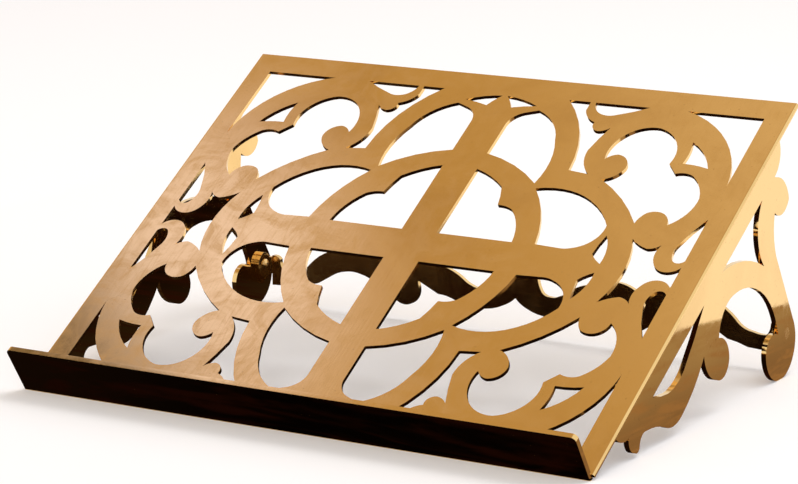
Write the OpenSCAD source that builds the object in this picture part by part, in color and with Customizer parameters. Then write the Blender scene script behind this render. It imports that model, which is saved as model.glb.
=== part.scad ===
// Book display stand in pierced brass sheet: a sloping desk with a ledge along its front edge,
// two scrolled side brackets that stand on lobed feet, and a bowed scrollwork brace between the feet.

/* [Desk] */
// Width of the desk, which is also the width over the side brackets
desk_w = 360; // [345:5:375]
// Length of the desk along its slope, from the front of the ledge to the top edge
desk_l = 292; // [280:2:304]
// Slope of the desk above the table, in degrees
slope = 32; // [31.5:0.25:32.5]
// Thickness of the desk's own sheet
desk_t = 2.2; // [2:0.1:2.5]
// Thickness of the sheet of the ledge, the brackets and the brace
sheet = 3; // [2.5:0.25:3.25]
// Width of the plain border beside the piercing, at the two sides
side_border = 14.7; // [13:0.1:16]
// Width of the plain border above the piercing
top_border = 15.2; // [15:0.1:17.5]
// Radius worn and polished on the two long edges of the desk
edge_r = 1.5; // [1:0.1:1.8]

/* [Ledge] */
// Height of the ledge above the desk's face
ledge_h = 29.5; // [26:0.5:33]
// Radius of the ledge's upper corners
ledge_corner_r = 3; // [1:0.5:6]
// How far each end of the ledge stays inside the desk's edge
ledge_inset = 1.5; // [0:0.5:4]
// How much the ledge's lowest corner is dressed off, so that it rests on a narrow flat
dressed = 0.8; // [0.4:0.1:1]

/* [Feet and brace] */
// Radius of the round foot at the back of each bracket
foot_r = 20.3; // [19.5:0.1:21]
// Distance from the front corner to the centre of the round foot, along the table
foot_y = 229.5; // [227:0.5:232]
// Radius of the rivets that hold the brace
rivet_r = 2; // [1.5:0.25:2.5]

/* [Hidden] */

// The nominal desk on which the ornament was drawn; other sizes stretch it
drawn_half_w = 180;
drawn_half_l = 146;
kx = desk_w / 2 / drawn_half_w;
ky = desk_l / 2 / drawn_half_l;
brass = [0.80, 0.58, 0.29];
solder = [0.83, 0.70, 0.48];

// Largest turn between neighbouring points of an arc, in degrees
arc_turn = 7.5;
seam = 2.2;         // leg of the solder fillets under the desk
ledge_seam = 1.2;   // leg of the fillet behind the ledge
big = 400;

// Points of the arc from p towards q that bulges h to the left of the chord; q itself is left out
function arc_points(p, q, h) =
    abs(h) < 0.01 ? [p] :
    let (d = q - p,
         c = norm(d),
         left = [-d.y, d.x] / c,
         r = (c * c / 4 + h * h) / (2 * abs(h)),
         centre = (p + q) / 2 + left * (h - sign(h) * r),
         start = atan2(p.y - centre.y, p.x - centre.x),
         sweep = -sign(h) * 4 * atan(2 * abs(h) / c),
         n = ceil(abs(sweep) / arc_turn))
    [for (i = [0 : n - 1]) centre + r * [cos(start + sweep * i / n), sin(start + sweep * i / n)]];

// A closed outline: each corner is [x, y, h], and its edge to the next corner bulges h to the left
function outline(corners) =
    [for (i = [0 : len(corners) - 1])
        let (a = corners[i], b = corners[(i + 1) % len(corners)])
        each arc_points([a.x, a.y], [b.x, b.y], a.z)];

function stretched(corners, sx, sy) = [for (c = corners) [c.x * sx, c.y * sy, c.z * (sx + sy) / 2]];

// ---- Frame -------------------------------------------------------------------------------------
// The desk's own frame has x across, y up the slope from the front of the ledge and z out of its
// face. The front corner of the ledge, before it is dressed, lies on the line y = 0, z = -sheet.

// Where a point of the table frame [back, up] lies in the desk's frame, as [y, depth below the face]
function on_side(back, up) =
    [back * cos(slope) + (up + dressed) * sin(slope),
     sheet + back * sin(slope) - (up + dressed) * cos(slope)];

front_reach = (ledge_h + sheet) * sin(slope);
back_reach = foot_y + foot_r;
foot_up = foot_r - 0.3;     // the lowest 0.3 mm of the foot is dressed flat
mid_depth = (back_reach - front_reach) / 2;

// The origin is on the table, under the middle of the stand
module on_table() translate([0, -mid_depth, 0]) children();
module in_desk() on_table() translate([0, 0, -dressed]) rotate([slope, 0, 0])
    translate([0, 0, sheet]) children();
module above_table() difference() {
    children();
    translate([-big, -big, -big]) cube([2 * big, 2 * big, big]);
}

// ---- Piercing, one quarter of each shape, measured from the middle of the desk --------------------

hole_x = drawn_half_w - side_border;
hole_y = drawn_half_l - top_border;
corner_hole = [[118, hole_y, 0], [hole_x, hole_y, 0], [hole_x, 73.6, -11.5]];
leaf_hole = [[131.5, 106, 2.1], [148.8, 86, -0.6], [132.4, 88, -1]];
scroll_hole = [[84.9, 85.2, 2.8], [89.3, 107, 2.6], [107.6, 114.7, 3.8], [125.3, 95.7, 0.4],
               [124.8, 86.7, 0], [131.4, 79.3, 1.4], [142.8, 78.9, 1.6], [153.5, 62, 3.1],
               [143.6, 38.6, -1.6], [137.4, 47.6, -1.2], [128, 46.2, -0.8], [124.4, 37.3, -2.6],
               [90.2, 68.6, -2.1], [100.5, 79.6, -2.9], [91.5, 89.9, -0.9]];
lyre_hole = [[41.8, hole_y, 0], [55.8, hole_y, 0], [55.8, 123.7, -1.6], [65.5, 114.4, -2.3],
             [71, 107.3, -0.7], [77.3, 111, -0.4], [71.6, 90.7, -2.4], [80.3, 71.7, 0], [67.3, 73.2, -6.2]];
sprig_hole = [[59.3, hole_y, 0], [94, hole_y, 0.5], [76, 122.1, 1.5], [64.3, 122.7, 1]];
finial_hole = [[1.6, 129.2, 0.5], [8.2, 119.8, 0.4], [23.9, 123, -1.2]];
top_petal_hole = [[11.4, 79.7, 0], [11.4, 106, 2.1], [20.2, 117, 0], [27, 119.6, 3.6], [48.1, 96.2, 3.2],
                  [51.6, 59.7, -2.9]];
ring_hole = [[11.4, 11.8, 0], [59.5, 11.8, -2.3], [48.1, 36.7, -0.9], [37.6, 39.4, -0.4], [33.2, 54, -1.3],
             [11.4, 66.2, 0]];
side_petal_hole = [[54.3, 55.8, 4], [91.2, 51.1, 1.6], [109.2, 33, 4.1], [97, 13.1, 0.4], [90.2, 11.6, 0],
                   [73.8, 12.4, -3.3]];
dart_hole = [[112.6, 25.5, -0.4], [110.4, 10.3, -0.5], [118, 3.5, -2]];
tear_hole = [[hole_x, 46.5, -0.7], [156.7, 25.5, -1.5], [157.8, 12.8, -2.1], [hole_x, 13.4, 0]];
QUARTER_HOLES = [corner_hole, leaf_hole, scroll_hole, lyre_hole, sprig_hole, finial_hole, top_petal_hole,
                 ring_hole, side_petal_hole, dart_hole, tear_hole];
// The hole at each end of the crossbar lies across the centre line, so its outline runs both ways
end_hole_half = [[128.6, 25.3, -0.8], [139.8, 19.1, -0.9], [147.3, 23.2, -2], [148.8, 7.9, -4.7],
                 [hole_x, 8.1, 0]];
end_hole = concat(end_hole_half,
                  [[hole_x, -8.1, -4.7], [148.8, -7.9, -2], [147.3, -23.2, -0.9], [139.8, -19.1, -0.8],
                   [128.6, -25.3, -5.3]]);

module piercing() {
    for (mx = [0, 1]) mirror([mx, 0]) {
        for (my = [0, 1]) mirror([0, my])
            for (hole = QUARTER_HOLES) polygon(outline(stretched(hole, kx, ky)));
        polygon(outline(stretched(end_hole, kx, ky)));
    }
}

// ---- Desk and ledge ------------------------------------------------------------------------------

// The desk's section across its width, with its two upper corners rounded
module desk_section() polygon(outline([
    [-desk_w / 2, -desk_t, 0], [desk_w / 2, -desk_t, 0],
    [desk_w / 2, -edge_r, -edge_r * (1 - sqrt(0.5))], [desk_w / 2 - edge_r, 0, 0],
    [-desk_w / 2 + edge_r, 0, -edge_r * (1 - sqrt(0.5))], [-desk_w / 2, -edge_r, 0]]));

module desk_panel() color(brass) in_desk() intersection() {
    translate([0, desk_l, 0]) rotate([90, 0, 0]) linear_extrude(desk_l - sheet) desk_section();
    translate([0, desk_l / 2, -desk_t - 1]) linear_extrude(desk_t + 2) difference() {
        square([desk_w + 2, desk_l + 2], center = true);
        piercing();
    }
}

ledge_end = desk_w / 2 - ledge_inset;
module front_ledge() color(brass) above_table() in_desk()
    translate([0, sheet, 0]) rotate([90, 0, 0]) linear_extrude(sheet) polygon(outline([
        [-ledge_end, -sheet, 0], [ledge_end, -sheet, 0],
        [ledge_end, ledge_h - ledge_corner_r, -ledge_corner_r * (1 - sqrt(0.5))],
        [ledge_end - ledge_corner_r, ledge_h, 0],
        [-ledge_end + ledge_corner_r, ledge_h, -ledge_corner_r * (1 - sqrt(0.5))],
        [-ledge_end, ledge_h - ledge_corner_r, 0]]));

// ---- Side brackets, as [y, depth below the face] ---------------------------------------------------

function foot_point(angle) = on_side(foot_y + foot_r * cos(angle), foot_up + foot_r * sin(angle));
// A corner of the round foot whose edge to the next corner turns through the given angle
function foot_corner(angle, turn) = concat(foot_point(angle), [-foot_r * (1 - cos(turn / 2))]);

back_scrolls = [[264.6, 0.8, 0], [261.8, -2.4, -5.5], [247.1, 15.4, 0], [248.9, 17.4, -3.8],
                [255.7, 39.4, -5.1], [237.1, 33.5, 2], [226.4, 56.4, 0]];
front_scrolls = [[206.1, 99, 5.3], [197.3, 54.7, 2.2], [173.6, 36.5, 4.8], [147.4, 44.1, -3.9],
                 [151.7, 63.4, -4.7], [134.2, 63.3, -3.9], [128.6, 39.5, -2.1], [92.2, 48.2, -2.7],
                 [74.1, 38.6, 1.1], [57.6, 24.2, 2.2], [47.7, 25.4, -1.7], [42, 25, -2.7],
                 [40.7, 12.4, -3.7], [29.6, -3.2, 0]];
window_hole = [[227.8, 15.5, 0], [168.3, 14.8, -4.7], [211.3, 50.4, -6.9]];
slot_hole = [[142.8, 14.8, -0.8], [106.5, 28.2, -1.7], [86, 25.2, -0.5], [71.4, 13.7, 0]];
bracket_outline = concat(
    stretched(back_scrolls, ky, ky),
    [foot_corner(30, 30), foot_corner(0, 60), foot_corner(-60, 60), foot_corner(-120, 54),
     concat(foot_point(-174), [-5.6])],
    stretched(front_scrolls, ky, ky));

// Turns an outline of [y, depth] into a sheet whose outer face is at x = desk_w / 2
module side_sheet() translate([desk_w / 2, 0, 0]) rotate([-90, 0, 90]) linear_extrude(sheet) children();

module right_side() difference() {
    above_table() in_desk() side_sheet() difference() {
        intersection() {
            polygon(outline(bracket_outline));
            translate([0, desk_t]) square([desk_l, big]);
        }
        polygon(outline(stretched(window_hole, ky, ky)));
        polygon(outline(stretched(slot_hole, ky, ky)));
    }
    rivet_hole();
}

module right_bracket() color(brass) right_side();
module left_bracket() color(brass) mirror([1, 0, 0]) right_side();

// ---- Rear brace ------------------------------------------------------------------------------------
// It stands upright between the round feet. Its ends are bent forward against the brackets, and each
// ends in a pointed leaf with a rivet through it.

brace_y = foot_y + 14.5;        // its front face
tab_y = foot_y + 8.1;           // the rivets' axis
tab_z = 25.5;
bend_r = sheet + 1;             // outside of the bend
bend_y = brace_y + sheet - bend_r;
brace_end = sheet + bend_r;     // where the bend starts, from the bracket's outer face

// Half of the brace as [distance from the bracket's outer face, height], from the middle outwards
brace_half = [[180, 46, 1], [164.6, 39, -0.6], [162, 29.5, -0.9], [156.5, 26.6, -0.5], [150.5, 27.4, -0.3],
              [145, 30.4, 0.3], [137.5, 34.8, 0.4], [128.4, 37.3, 0.8], [112.2, 40.7, 1], [99.1, 36.8, -0.6],
              [92, 40.3, 1.8], [62, 39, 0.6], [46, 35.8, 0.6], [35, 27.7, -1.3], [24, 21.8, -0.5],
              [15.5, 21, -0.8], [13, 28, 1], [brace_end, 30, 0], [brace_end, 11.2, 0.2], [27, 12.4, -0.4],
              [40, 15.8, 0.2], [51.1, 22.3, -0.5], [61.3, 25.8, -0.6], [72, 25.4, -0.3], [80, 22.6, 0],
              [97.2, 12.3, 5.6], [113.6, 19.9, 0.3], [112.4, 26.4, 0], [126.9, 19.4, -0.7],
              [139.3, 16.7, 0.1], [151, 14.5, 1.8], [172.8, 18, 0.5], [180, 23.6, 0]];
brace_right = [for (c = brace_half) [(drawn_half_w - c.x) * kx, c.y, c.z]];
// The leaf, seen from the side as [y, height]; its rear is where the bend starts
tab_outline = [[bend_y, 18.5, 0.3], [tab_y - 0.2, 15.6, 1.6], [tab_y - 7.5, 26.5, 1.2],
               [tab_y - 1.5, 33.4, 1], [bend_y, 29, 0]];

module brace_face() polygon(outline(brace_right));

// Half of the brace, in the table frame
module brace_side() {
    translate([0, brace_y + sheet, 0]) rotate([90, 0, 0]) linear_extrude(sheet) brace_face();
    translate([desk_w / 2 - brace_end, bend_y, 18.5]) linear_extrude(10.5) bend_section();
    translate([desk_w / 2 - 2 * sheet, 0, 0]) rotate([90, 0, 90]) linear_extrude(sheet)
        polygon(outline(tab_outline));
}

// The bend seen from above, a quarter of a ring about the origin
module bend_section() intersection() {
    difference() {
        circle(r = bend_r, $fn = 64);
        circle(r = bend_r - sheet, $fn = 64);
    }
    square([bend_r, bend_r]);
}

module rear_brace() color(brass) on_table() difference() {
    union() {
        brace_side();
        mirror([1, 0, 0]) brace_side();
    }
    rivet_bore();
    mirror([1, 0, 0]) rivet_bore();
}

// ---- Rivets ----------------------------------------------------------------------------------------
// Countersunk and filed flush outside the bracket, with a low round head on the tab

rivet_gap = 0.02;
sink_r = rivet_r + 1.3;
sink_depth = 1.3;
head_r = rivet_r + 1.4;
head_h = 1.7;

// Puts a shape drawn up the z axis on the rivet's axis, running in from the bracket's outer face
module at_rivet() translate([desk_w / 2, tab_y, tab_z]) rotate([0, -90, 0]) children();
module rivet_bore() at_rivet() rotate_extrude($fn = 64) polygon([
    [0, -1], [sink_r + 1, -1], [rivet_r, sink_depth], [rivet_r, 4 * sheet], [0, 4 * sheet]]);
module rivet_hole() on_table() rivet_bore();

module right_rivet_body() on_table() at_rivet() rotate_extrude($fn = 64) polygon(outline([
    [0, 0, 0], [sink_r - rivet_gap, 0, 0], [rivet_r - rivet_gap, sink_depth, 0],
    [rivet_r - rivet_gap, 2 * sheet, 0], [head_r, 2 * sheet, 0], [head_r, 2 * sheet + 0.3, -0.55],
    [0, 2 * sheet + head_h, 0]]));

module right_rivet() color(brass) right_rivet_body();
module left_rivet() color(brass) mirror([1, 0, 0]) right_rivet_body();

// ---- Solder seams ----------------------------------------------------------------------------------

// In the inside corner between the desk and a bracket, hollow towards the corner
module side_seam() in_desk() translate([0, 258 * ky, 0]) rotate([90, 0, 0]) linear_extrude(224 * ky)
    translate([desk_w / 2 - sheet, -desk_t]) polygon(outline([[-seam, 0, 0.45], [0, -seam, 0], [0, 0, 0]]));

module right_solder_seam() color(solder) side_seam();
module left_solder_seam() color(solder) mirror([1, 0, 0]) side_seam();

// Behind the ledge, along the desk's face
module ledge_solder_seam() color(solder) in_desk()
    translate([-desk_w / 2 + 4, sheet, 0]) rotate([90, 0, 90]) linear_extrude(desk_w - 8)
        polygon(outline([[0, ledge_seam, 0], [0, 0, 0], [ledge_seam, 0, -0.25]]));

desk_panel();
front_ledge();
left_bracket();
right_bracket();
rear_brace();
left_rivet();
right_rivet();
left_solder_seam();
right_solder_seam();
ledge_solder_seam();
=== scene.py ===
import math
import bpy
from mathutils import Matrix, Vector


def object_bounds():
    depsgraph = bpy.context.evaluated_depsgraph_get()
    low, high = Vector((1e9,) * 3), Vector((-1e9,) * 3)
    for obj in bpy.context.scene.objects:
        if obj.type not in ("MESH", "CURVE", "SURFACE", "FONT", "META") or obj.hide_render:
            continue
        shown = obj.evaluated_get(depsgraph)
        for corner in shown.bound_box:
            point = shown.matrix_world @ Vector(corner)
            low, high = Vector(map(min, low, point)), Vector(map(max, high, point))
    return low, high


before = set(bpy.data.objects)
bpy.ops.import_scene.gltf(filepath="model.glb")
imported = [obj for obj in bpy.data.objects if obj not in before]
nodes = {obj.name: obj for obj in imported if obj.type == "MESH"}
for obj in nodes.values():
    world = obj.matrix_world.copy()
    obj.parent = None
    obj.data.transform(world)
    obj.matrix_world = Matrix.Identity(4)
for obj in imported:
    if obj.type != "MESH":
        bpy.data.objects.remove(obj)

cad_box = [list(c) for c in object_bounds()]
scene = bpy.context.scene
SLOPE = math.radians(32)            # of the desk
SAME_PLACE = 0.000002               # corners closer than this are one corner, in metres
SHARPEST_KEPT = math.radians(35)    # edges that turn less than this are part of a round
OUTER = cad_box[1][0]               # outer face of the right bracket

# ---- Small helpers -------------------------------------------------------------------------------


class Graph:
    """A node tree with short calls for the nodes that the materials share."""

    def __init__(self, tree):
        self.tree = tree
        tree.nodes.clear()

    def add(self, kind, inputs=None, **settings):
        node = self.tree.nodes.new(kind)
        for key, value in settings.items():
            setattr(node, key, value)
        for key, value in (inputs or {}).items():
            if isinstance(value, bpy.types.NodeSocket):
                self.tree.links.new(value, node.inputs[key])
            else:
                node.inputs[key].default_value = value
        return node

    def coords(self, turn=(0, 0, 0), scale=(1, 1, 1), shift=(0, 0, 0)):
        place = self.add("ShaderNodeTexCoord").outputs["Object"]
        turned = self.add("ShaderNodeMapping", {"Vector": place, "Rotation": turn})
        return self.add("ShaderNodeMapping", {"Vector": turned.outputs[0], "Scale": scale,
                                              "Location": shift}).outputs[0]

    def noise(self, vector, scale, detail=4.0, rough=0.55, distortion=0.0):
        return self.add("ShaderNodeTexNoise", {"Vector": vector, "Scale": scale, "Detail": detail,
                                               "Roughness": rough, "Distortion": distortion}).outputs["Fac"]

    def spread(self, value, low, high, to_low, to_high, smooth=True):
        node = self.add("ShaderNodeMapRange", {"Value": value, "From Min": low, "From Max": high,
                                               "To Min": to_low, "To Max": to_high},
                        interpolation_type="SMOOTHSTEP" if smooth else "LINEAR")
        return node.outputs["Result"]

    def math(self, how, a, b=0.0, clamp=False):
        return self.add("ShaderNodeMath", {0: a, 1: b}, operation=how, use_clamp=clamp).outputs[0]

    def mix(self, factor, a, b):
        node = self.add("ShaderNodeMix", data_type="RGBA", blend_type="MIX")
        for socket, value in ((node.inputs[0], factor), (node.inputs[6], a), (node.inputs[7], b)):
            if isinstance(value, bpy.types.NodeSocket):
                self.tree.links.new(value, socket)
            else:
                socket.default_value = value
        return node.outputs[2]

    def bump(self, height, strength, distance, under=None):
        inputs = {"Height": height, "Strength": strength, "Distance": distance}
        if under is not None:
            inputs["Normal"] = under
        return self.add("ShaderNodeBump", inputs).outputs["Normal"]


def rgb(r, g, b):
    return (r, g, b, 1.0)


def brass(name, bright, dull, rough, grain_turn=(0, 0, 0), grain=(1, 1, 1), seed=0.0, tarnish=0.5,
          grain_depth=0.00002):
    """Polished brass: long polishing lines, fine scratches, hand smudges and light tarnish."""
    mat = bpy.data.materials.new(name)
    mat.use_nodes = True
    g = Graph(mat.node_tree)
    along = g.coords(grain_turn, grain, (seed, seed * 0.7, seed * 1.3))
    plain = g.coords(grain_turn, (1, 1, 1), (seed, -seed, seed * 0.4))
    lines = g.noise(along, 900, 3, 0.6)
    cloud = g.noise(plain, 9, 5, 0.6, 0.6)
    smudge = g.noise(plain, 38, 4, 0.7, 1.5)
    specks = g.noise(plain, 620, 2, 0.5)
    scratches = g.add("ShaderNodeTexVoronoi", {"Vector": along, "Scale": 260, "Randomness": 1.0},
                      feature="DISTANCE_TO_EDGE").outputs["Distance"]
    nick = g.spread(scratches, 0.0, 0.05, 1.0, 0.0)
    dark = g.math("MULTIPLY", g.spread(cloud, 0.42, 0.72, 0.0, 1.0), tarnish, True)
    color = g.mix(dark, rgb(*bright), rgb(*dull))
    pits = g.math("MULTIPLY", g.spread(specks, 0.66, 0.78, 0.0, 1.0), 0.35, True)
    color = g.mix(pits, color, rgb(dull[0] * 0.6, dull[1] * 0.55, dull[2] * 0.5))
    shine = g.math("ADD", g.spread(smudge, 0.35, 0.75, -0.03, 0.07), rough)
    shine = g.math("ADD", shine, g.math("MULTIPLY", nick, 0.03))
    normal = g.bump(lines, 0.35, grain_depth)
    normal = g.bump(smudge, 0.12, 0.00006, normal)
    bsdf = g.add("ShaderNodeBsdfPrincipled", {"Base Color": color, "Metallic": 1.0, "Roughness": shine,
                                              "Normal": normal})
    g.add("ShaderNodeOutputMaterial", {"Surface": bsdf.outputs[0]})
    return mat


def give(node, mat):
    obj = nodes[node]
    obj.data.materials.clear()
    obj.data.materials.append(mat)


def soften(node, width):
    """Breaks the sawn edges, as a file and buffing do, and keeps the flat faces flat."""
    obj = nodes[node]
    weld = obj.modifiers.new("weld", "WELD")
    weld.merge_threshold = SAME_PLACE
    bevel = obj.modifiers.new("edges", "BEVEL")
    bevel.width = width
    bevel.segments = 2
    bevel.limit_method = "ANGLE"
    bevel.angle_limit = SHARPEST_KEPT
    bevel.miter_outer = "MITER_ARC"
    level = obj.modifiers.new("normals", "WEIGHTED_NORMAL")
    level.mode = "FACE_AREA_WITH_ANGLE"
    level.weight = 100
    level.keep_sharp = False


# ---- Brass ---------------------------------------------------------------------------------------

BRIGHT = (0.93, 0.63, 0.26)
DULL = (0.62, 0.37, 0.13)
panel_turn = (-SLOPE, 0, 0)     # lays the grain along the desk's face
desk_brass = brass("desk_brass", BRIGHT, DULL, 0.12, panel_turn, (1, 0.05, 1), 0.3, 0.35)
ledge_brass = brass("ledge_brass", BRIGHT, DULL, 0.08, panel_turn, (1, 1, 0.05), 1.9, 0.35)
side_brass = brass("bracket_brass", BRIGHT, DULL, 0.045, panel_turn, (1, 0.05, 1), 3.1, 0.3)
brace_brass = brass("brace_brass", BRIGHT, DULL, 0.16, (0, 0, 0), (0.05, 1, 1), 4.7, 0.6)
rivet_brass = brass("rivet_brass", (0.9, 0.6, 0.25), DULL, 0.24, (0, 0, 0), (1, 1, 1), 6.2, 0.5, 0.00005)
solder_brass = brass("solder_brass", (0.86, 0.7, 0.45), (0.5, 0.38, 0.22), 0.34, panel_turn, (1, 1, 1), 8.4,
                     0.8, 0.00012)

give("desk_panel", desk_brass)
give("front_ledge", ledge_brass)
for side in ("left", "right"):
    give(side + "_bracket", side_brass)
    give(side + "_rivet", rivet_brass)
    give(side + "_solder_seam", solder_brass)
give("rear_brace", brace_brass)
give("ledge_solder_seam", solder_brass)

EDGES = {"desk_panel": 0.00035, "front_ledge": 0.00045, "left_bracket": 0.0004, "right_bracket": 0.0004,
         "rear_brace": 0.0004}
for name, width in EDGES.items():
    soften(name, width)

# ---- Floor and light -------------------------------------------------------------------------------


def plane(name, x, y, z, material, far_x=None):
    """A flat four-sided sheet; far_x gives its span in x at its far side, where that differs."""
    mesh = bpy.data.meshes.new(name)
    far = far_x or x
    corners = [(x[0], y[0], z), (x[1], y[0], z), (far[1], y[1], z), (far[0], y[1], z)]
    mesh.from_pydata(corners, [], [(0, 1, 2, 3)])
    obj = bpy.data.objects.new(name, mesh)
    scene.collection.objects.link(obj)
    obj.data.materials.append(material)
    return obj


floor_mat = bpy.data.materials.new("floor")
floor_mat.use_nodes = True
g = Graph(floor_mat.node_tree)
bsdf = g.add("ShaderNodeBsdfPrincipled", {"Base Color": rgb(0.82, 0.815, 0.83), "Roughness": 0.9})
bsdf.inputs["Specular IOR Level"].default_value = 0.1
bsdf.inputs["Emission Color"].default_value = rgb(0.94, 0.93, 0.96)
bsdf.inputs["Emission Strength"].default_value = 0.2
g.add("ShaderNodeOutputMaterial", {"Surface": bsdf.outputs[0]})
plane("floor", (-12, 12), (-12, 12), 0.0, floor_mat)


def glossy_only(obj):
    """A card that the brass mirrors but that neither shows nor lights anything."""
    obj.visible_camera = False
    obj.visible_diffuse = False
    obj.visible_shadow = False
    obj.visible_transmission = False


def reflection_card_material(name, near, far, x_near, x_far, streak, grain):
    """A glowing sheet whose colour is a painted reflection of polished wood in the brass, from colour near
    to colour far across x.
    """
    mat = bpy.data.materials.new(name)
    mat.use_nodes = True
    g = Graph(mat.node_tree)
    place = g.add("ShaderNodeTexCoord").outputs["Object"]
    x = g.add("ShaderNodeSeparateXYZ", {"Vector": place}).outputs["X"]
    color = g.mix(g.spread(x, x_near, x_far, 0.0, 1.0), rgb(*near), rgb(*far))
    stretched = g.add("ShaderNodeMapping", {"Vector": place, "Scale": grain}).outputs[0]
    figure = g.noise(stretched, 30, 4, 0.6, 1.2)
    color = g.mix(g.spread(figure, 0.45, 0.65, 0.0, 1.0), color, rgb(*streak))
    shine = g.add("ShaderNodeEmission", {"Color": color, "Strength": 1.0})
    g.add("ShaderNodeOutputMaterial", {"Surface": shine.outputs[0]})
    return mat


# Painted reflection and painted shade: the dark card darkens towards the stand as painted shade under it,
# the front card is near-black painted shade before the ledge, and the side card is a lighter painted
# reflection of wood
painted_dark_reflection = reflection_card_material("painted_dark_reflection", (0.05, 0.032, 0.018), (0.006, 0.003, 0.001), -0.3, -0.05,
                          (0.02, 0.006, 0.003), (0.35, 3.0, 1.0))
painted_side_reflection = reflection_card_material("painted_side_reflection", (0.25, 0.16, 0.09), (0.4, 0.3, 0.18), 0.19, 0.26,
                          (0.34, 0.21, 0.11), (3.0, 0.5, 1.0))
painted_front_reflection = reflection_card_material("painted_front_reflection", (0.007, 0.004, 0.003), (0.001, 0.0006, 0.0005), -0.25, 0.0,
                           (0.009, 0.0025, 0.0018), (0.35, 3.0, 1.0))

# The painted-reflection cards lie just above the floor: two under the stand, where the brace and the ledge
# mirror them as painted dark reflection and painted shade, and one beside it for the right bracket, a
# lighter painted reflection of wood, narrower towards the back
CARD_Z = 0.0003
SPLIT_X = OUTER + 0.0002
SPLIT_Y = -0.1
glossy_only(plane("dark_reflection_card", (-0.5, SPLIT_X), (SPLIT_Y, 0.45), CARD_Z, painted_dark_reflection))
glossy_only(plane("front_reflection_card", (-0.5, SPLIT_X), (-0.3, SPLIT_Y), CARD_Z, painted_front_reflection))
glossy_only(plane("side_reflection_card", (SPLIT_X, 0.44), (-0.3, 0.48), CARD_Z, painted_side_reflection, (SPLIT_X, 0.187)))

world = bpy.data.worlds.new("studio")
scene.world = world
world.use_nodes = True
g = Graph(world.node_tree)
heading = g.add("ShaderNodeTexCoord").outputs["Generated"]


def patch(under, azimuth, elevation, inner, outer, color):
    """Lays a round soft-edged patch of light over what is under it; angles in degrees."""
    a, e = math.radians(azimuth), math.radians(elevation)
    aim = (math.sin(a) * math.cos(e), math.cos(a) * math.cos(e), math.sin(e))
    near = g.add("ShaderNodeVectorMath", {0: heading, 1: aim}, operation="DOT_PRODUCT").outputs["Value"]
    amount = g.spread(near, math.cos(math.radians(outer)), math.cos(math.radians(inner)), 0.0, 1.0)
    return g.mix(amount, under, rgb(*color))


# The desk mirrors the brown patch, with a brighter spot above it and a bluish one at its left
sky = rgb(0.95, 0.95, 0.96)
sky = patch(sky, -68, 58, 26, 44, (0.53, 0.37, 0.18))
sky = patch(sky, -55, 65, 1, 9, (0.72, 0.58, 0.42))
sky = patch(sky, -75, 54.6, 0.5, 4, (1.0, 0.97, 1.45))
sky = patch(sky, -82, 52.5, 1, 4.5, (0.18, 0.14, 0.1))
background = g.add("ShaderNodeBackground", {"Color": sky, "Strength": 1.0})
g.add("ShaderNodeOutputWorld", {"Surface": background.outputs[0]})


def softbox(name, place, aim, size, power, color):
    data = bpy.data.lights.new(name, "AREA")
    data.shape = "RECTANGLE"
    data.size, data.size_y = size
    data.energy = power
    data.color = color
    obj = bpy.data.objects.new(name, data)
    scene.collection.objects.link(obj)
    obj.location = place
    obj.rotation_mode = "QUATERNION"
    obj.rotation_quaternion = (Vector(aim) - Vector(place)).to_track_quat("-Z", "Y")
    return obj


key = softbox("key", (0.5, 0.6, 2.2), (0, 0, 0.08), (1.2, 1.2), 18, (1.0, 0.98, 0.95))
key.visible_glossy = False

# ---- Camera ----------------------------------------------------------------------------------------

camera = bpy.data.objects.new("camera", bpy.data.cameras.new("camera"))
scene.collection.objects.link(camera)
scene.camera = camera
camera.location = (0.87235, -1.45653, 0.45577)
camera.rotation_euler = (math.radians(77.4645), math.radians(0.0523), math.radians(30.0508))
camera.data.sensor_width = 36
camera.data.lens = 140.26
camera.data.shift_x = -0.0639
camera.data.shift_y = 0.00785
camera.data.clip_end = 100
scene.view_settings.view_transform = "Standard"
